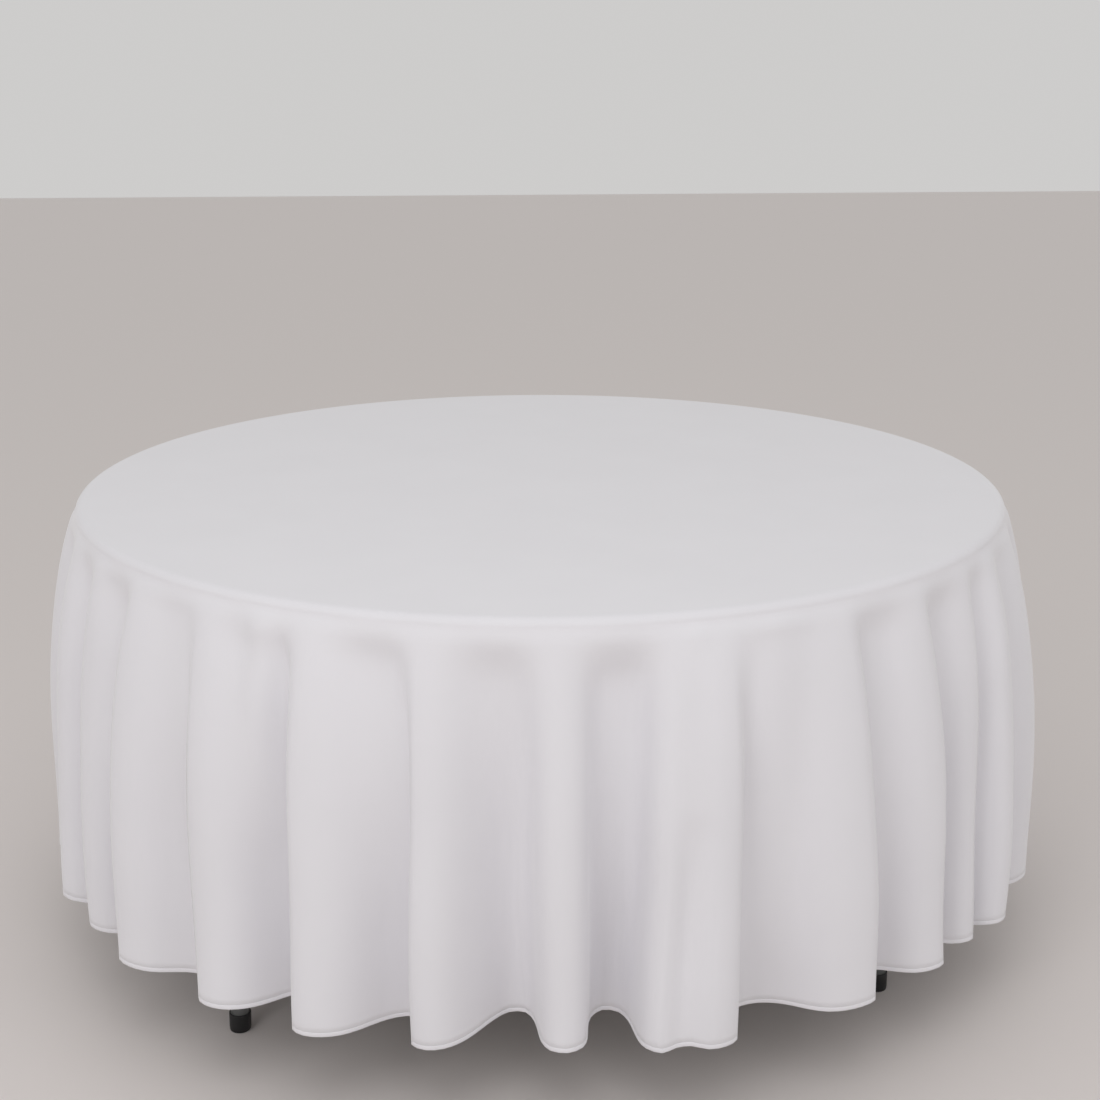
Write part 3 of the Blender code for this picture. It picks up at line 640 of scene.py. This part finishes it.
def outward(points, groups):
    """The faces of a closed solid, turned round if the volume they enclose comes out negative."""
    volume = 0.0
    for faces in groups:
        for k in range(1, faces.shape[1] - 1):
            volume += np.einsum("ij,ij->", points[faces[:, 0]],
                                np.cross(points[faces[:, k]], points[faces[:, k + 1]]))
    return groups if volume > 0.0 else [faces[:, ::-1] for faces in groups]


def turned(profile, sides):
    """Points and faces of a solid turned about Z.

    The profile runs from axis to axis; each of its inner points becomes a ring of radius times
    cosine and sine, and its two ends close the solid with fans.
    """
    rings = np.array(profile[1:-1])
    angle = TAU * np.arange(sides) / sides
    points = np.stack([
        rings[:, :1] * np.cos(angle), rings[:, :1] * np.sin(angle), rings[:, 1:] + 0.0 * angle
    ], axis=2).reshape(-1, 3)
    ends = np.array([(0.0, 0.0, profile[0][1]), (0.0, 0.0, profile[-1][1])])
    last = (len(rings) - 1) * sides
    here = np.arange(sides)
    ahead = (here + 1) % sides
    fans = np.concatenate([
        np.stack([np.full(sides, len(points)), here, ahead], axis=1),
        np.stack([np.full(sides, len(points) + 1), last + ahead, last + here], axis=1),
    ])
    points = np.concatenate([points, ends])
    return points, outward(points, [grid_faces(len(rings), sides), fans])


def swept_tube(path, radius, wall, sides):
    """Points and faces of an open-ended tube along a path in the YZ plane.

    Rings of the outer radius follow the path, each at right angles to it, and rings of the inner
    radius come back, so the wall is closed at both ends.
    """
    ahead = np.gradient(path, axis=0)
    ahead /= np.linalg.norm(ahead, axis=1)[:, None]
    across = np.stack([-ahead[:, 1], ahead[:, 0]], axis=1)
    angle = TAU * np.arange(sides) / sides
    shells = []
    for size, order in ((radius, 1), (radius - wall, -1)):
        middle, side = path[::order], across[::order]
        shells.append(np.stack([
            np.repeat(size * np.cos(angle)[None, :], len(path), axis=0),
            middle[:, :1] + side[:, :1] * size * np.sin(angle),
            middle[:, 1:] + side[:, 1:] * size * np.sin(angle),
        ], axis=2))
    rings = np.concatenate(shells + [shells[0][:1]])
    faces = grid_faces(len(rings), sides) % ((len(rings) - 1) * sides)
    points = rings[:-1].reshape(-1, 3)
    return points, outward(points, [faces])


def leg_to_table(points, sign):
    """Turns points of an upright leg frame about the pivot to its splay and moves them there."""
    turn = -sign * SPLAY
    x, y, z = points.T
    return np.stack([
        sign * PIVOT_X + x * np.cos(turn) + z * np.sin(turn),
        y,
        PIVOT_Z - x * np.sin(turn) + z * np.cos(turn),
    ], axis=1)


def bend_path(half_width, low):
    """A leg frame's middle line: up one leg, round a bend, across at the pivot and down again."""
    turns = np.linspace(np.pi, np.pi / 2, 17)
    corner = half_width - BEND_RADIUS
    bend = np.stack([
        -corner + BEND_RADIUS * np.cos(turns), BEND_RADIUS * (np.sin(turns) - 1.0)
    ], axis=1)
    climb = np.linspace(low, -BEND_RADIUS, 6)[:-1]
    rise = np.stack([np.full(5, -half_width), climb], axis=1)
    half = np.concatenate([rise, bend])
    return np.concatenate([half, half[::-1] * (-1.0, 1.0)])


def moulded_disc():
    """Profile of the table top: quarter-round upper rim, soft lower lip and flat underside."""
    turns = np.linspace(0.0, np.pi / 2, 10)
    rim = np.stack([
        TABLE_RADIUS - RIM_ROUND + RIM_ROUND * np.sin(turns),
        TABLE_HEIGHT - RIM_ROUND + RIM_ROUND * np.cos(turns),
    ], axis=1)
    lip = float(TOP_LOW.z)
    edge = np.stack([
        TABLE_RADIUS - LIP_ROUND + LIP_ROUND * np.cos(turns),
        lip + LIP_ROUND - LIP_ROUND * np.sin(turns),
    ], axis=1)
    inner = TABLE_RADIUS - LIP_WIDTH
    under = TABLE_HEIGHT - PANEL
    return [(0.0, TABLE_HEIGHT), (0.4, TABLE_HEIGHT), *rim.tolist(), *edge.tolist(),
            (inner, lip), (inner - 0.001, lip + 0.0008), (inner - LIP_ROUND, under),
            (0.4, under), (0.0, under)]


class DRAPED_OT_table_top(bpy.types.Operator):
    """Turns the round moulded table top"""

    bl_idname = "draped.table_top"
    bl_label = "Turn the table top"

    def execute(self, context):
        settings = context.scene.folding_table
        finish = grained("moulded_polyethylene", settings.top_colour[:], 0.5, 260.0, 0.0004)
        points, faces = turned(moulded_disc(), TOP_SIDES)
        top = new_piece("round_top", points, faces, finish)
        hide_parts("table_top")
        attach(top, "table")
        return {"FINISHED"}


class DRAPED_OT_leg_frames(bpy.types.Operator):
    """Bends the two leg frames, adds their cross tubes and caps their feet"""

    bl_idname = "draped.leg_frames"
    bl_label = "Build the leg frames"

    def execute(self, context):
        settings = context.scene.folding_table
        steel = grained("grey_powder_coat", settings.steel_colour[:], 0.38, 900.0, 0.0001, 0.2)
        rubber = grained("black_moulded_cap", settings.cap_colour[:], 0.45, 700.0, 0.0001)
        for side, sign, half_width in zip(("left", "right"), (-1.0, 1.0), HALF_WIDTHS):
            frame_path = bend_path(half_width, -LEG_LENGTH + CAP_SOLE)
            reach = half_width - TUBE_RADIUS - 0.0003
            cross_path = np.stack([np.linspace(-reach, reach, 9), np.full(9, -CROSS_DROP)], axis=1)
            made = []
            for name, path in (("bent_leg_", frame_path), ("cross_bar_", cross_path)):
                points, faces = swept_tube(path, TUBE_RADIUS, TUBE_WALL, TUBE_SIDES)
                made.append(new_piece(name + side, leg_to_table(points, sign), faces, steel))
            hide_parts("leg_tube_" + side)
            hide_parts("cross_tube_" + side)
            for word, y in (("front", -half_width), ("back", half_width)):
                cap = self.foot(f"tapered_foot_{side}_{word}", y, sign, rubber)
                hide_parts(f"foot_cap_{side}_{word}")
                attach(cap, "leg_frame_" + side)
            for part in made:
                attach(part, "leg_frame_" + side)
        return {"FINISHED"}

    def foot(self, name, y, sign, finish):
        """Tapered cup with a rolled mouth; its sole is sheared level with the floor."""
        sole = -LEG_LENGTH
        turns = np.linspace(0.0, np.pi, 7)
        mouth = np.stack([
            TUBE_RADIUS + 0.0013 - 0.001 * np.cos(turns),
            sole + CAP_HEIGHT - 0.001 + 0.001 * np.sin(turns),
        ], axis=1)
        profile = [(0.0, sole + CAP_SOLE), (TUBE_RADIUS + 0.0003, sole + CAP_SOLE), *mouth.tolist(),
                   (CAP_WAIST, sole + CAP_HEIGHT - 0.004), (CAP_WAIST - 0.0003, sole + 0.006),
                   (CAP_WAIST - 0.0007, sole + 0.0035), (CAP_WAIST - 0.0008, sole + 0.002),
                   (CAP_WAIST - 0.0014, sole + 0.0006), (CAP_WAIST - 0.0023, sole), (0.0, sole)]
        points, faces = turned(profile, CAP_SIDES)
        points[:, 1] += y
        low = points[:, 2] < sole + CAP_SOLE / 2
        points[low, 2] -= sign * points[low, 0] * np.tan(SPLAY)
        return new_piece(name, leg_to_table(points, sign), faces, finish)


# ---------------------------------------------------------------- table finishes

class DRAPED_OT_table_finishes(bpy.types.Operator):
    """Gives the table's own pieces their finishes"""

    bl_idname = "draped.table_finishes"
    bl_label = "Finish the folding table"

    def execute(self, context):
        settings = context.scene.folding_table
        steel = settings.steel_colour[:]
        zinc = (0.60, 0.60, 0.57)
        finishes = {
            "grey_steel": grained("grey_powder_coat_braces", steel, 0.38, 900.0, 0.0001, 0.2),
            "zinc_fastener": grained("zinc_plate", zinc, 0.32, 500.0, 0.00005, 1.0, 0.12),
        }
        for part in frame["record"]["subparts"]:
            node = frame["nodes"][part["node"]]
            finish = finishes.get(part["material_slot"])
            if finish and not node.hide_render:
                node.data.materials.clear()
                node.data.materials.append(finish)
        return {"FINISHED"}


# ---------------------------------------------------------------- stage

class DRAPED_OT_stage(bpy.types.Operator):
    """Sets up a plain pale floor, soft studio light and the camera"""

    bl_idname = "draped.stage"
    bl_label = "Set up the stage"

    def execute(self, context):
        settings = context.scene.studio
        scene = context.scene
        corners = FLOOR_HALF * np.array([
            (-1.0, -1.0, 0.0), (1.0, -1.0, 0.0), (1.0, 1.0, 0.0), (-1.0, 1.0, 0.0),
        ])
        floor = new_piece("studio_floor", corners, np.array([(0, 1, 2, 3)]),
                          plain_finish("pale_floor", settings.floor_colour[:], 0.55), smooth=False)
        lights = (
            ("key", (-3.0, -4.4, 3.0), (0.0, 0.0, 0.5), 2.5, settings.key_power),
            ("fill", (3.6, -4.2, 2.2), (0.0, 0.0, 0.4), 3.0, settings.key_power * 0.45),
            ("overhead", (-0.3, -2.1, 2.7), (0.0, -0.6, 0.7), 1.6, settings.key_power * 0.26),
        )
        for name, place, target, size, power in lights:
            data = bpy.data.lights.new(name, "AREA")
            data.shape = "SQUARE"
            data.size = size
            data.energy = power
            lamp = bpy.data.objects.new(name, data)
            lamp.location = place
            aim = Vector(target) - Vector(place)
            lamp.rotation_euler = aim.to_track_quat("-Z", "Y").to_euler()
            scene.collection.objects.link(lamp)
        world = bpy.data.worlds.new("studio_surround")
        world.use_nodes = True
        background = world.node_tree.nodes["Background"]
        background.inputs["Color"].default_value = (0.93, 0.92, 0.91, 1.0)
        background.inputs["Strength"].default_value = settings.surround
        scene.world = world
        scene.view_settings.view_transform = "Standard"
        data = bpy.data.cameras.new("front_camera")
        data.lens = CAMERA_LENS
        data.sensor_width = 36.0
        camera = bpy.data.objects.new("front_camera", data)
        camera.location = CAMERA_PLACE
        camera.rotation_euler = tuple(np.radians(CAMERA_TURN))
        scene.collection.objects.link(camera)
        scene.camera = camera
        return {"FINISHED"}


# ---------------------------------------------------------------- add-on

class DRAPED_PT_panel(bpy.types.Panel):
    """Settings and steps of the draped table"""

    bl_idname = "DRAPED_PT_panel"
    bl_label = "Draped Table"
    bl_space_type = "VIEW_3D"
    bl_region_type = "UI"
    bl_category = "Draped Table"

    def draw(self, context):
        layout = self.layout
        for setting, _ in SETTINGS:
            group = getattr(context.scene, setting)
            box = layout.box()
            for name in group.bl_rna.properties.keys():
                if name not in ("rna_type", "name"):
                    box.prop(group, name)
        for operator in OPERATORS:
            layout.operator(operator.bl_idname)


OPERATORS = (
    DRAPED_OT_tablecloth,
    DRAPED_OT_table_top,
    DRAPED_OT_leg_frames,
    DRAPED_OT_table_finishes,
    DRAPED_OT_stage,
)
SETTINGS = (
    ("draped_cloth", DrapedClothSettings),
    ("folding_table", FoldingTableSettings),
    ("studio", StudioSettings),
)


def register():
    """Registers the settings, the operators and the panel"""
    for name, group in SETTINGS:
        bpy.utils.register_class(group)
        setattr(bpy.types.Scene, name, bpy.props.PointerProperty(type=group))
    for operator in OPERATORS:
        bpy.utils.register_class(operator)
    bpy.utils.register_class(DRAPED_PT_panel)


def unregister():
    """Takes away what register added, in the other order"""
    bpy.utils.unregister_class(DRAPED_PT_panel)
    for operator in reversed(OPERATORS):
        bpy.utils.unregister_class(operator)
    for name, group in reversed(SETTINGS):
        delattr(bpy.types.Scene, name)
        bpy.utils.unregister_class(group)


def main():
    """Builds every piece and the stage"""
    register()
    bpy.ops.draped.tablecloth()
    bpy.ops.draped.table_top()
    bpy.ops.draped.leg_frames()
    bpy.ops.draped.table_finishes()
    bpy.ops.draped.stage()


if __name__ == "__main__":
    main()
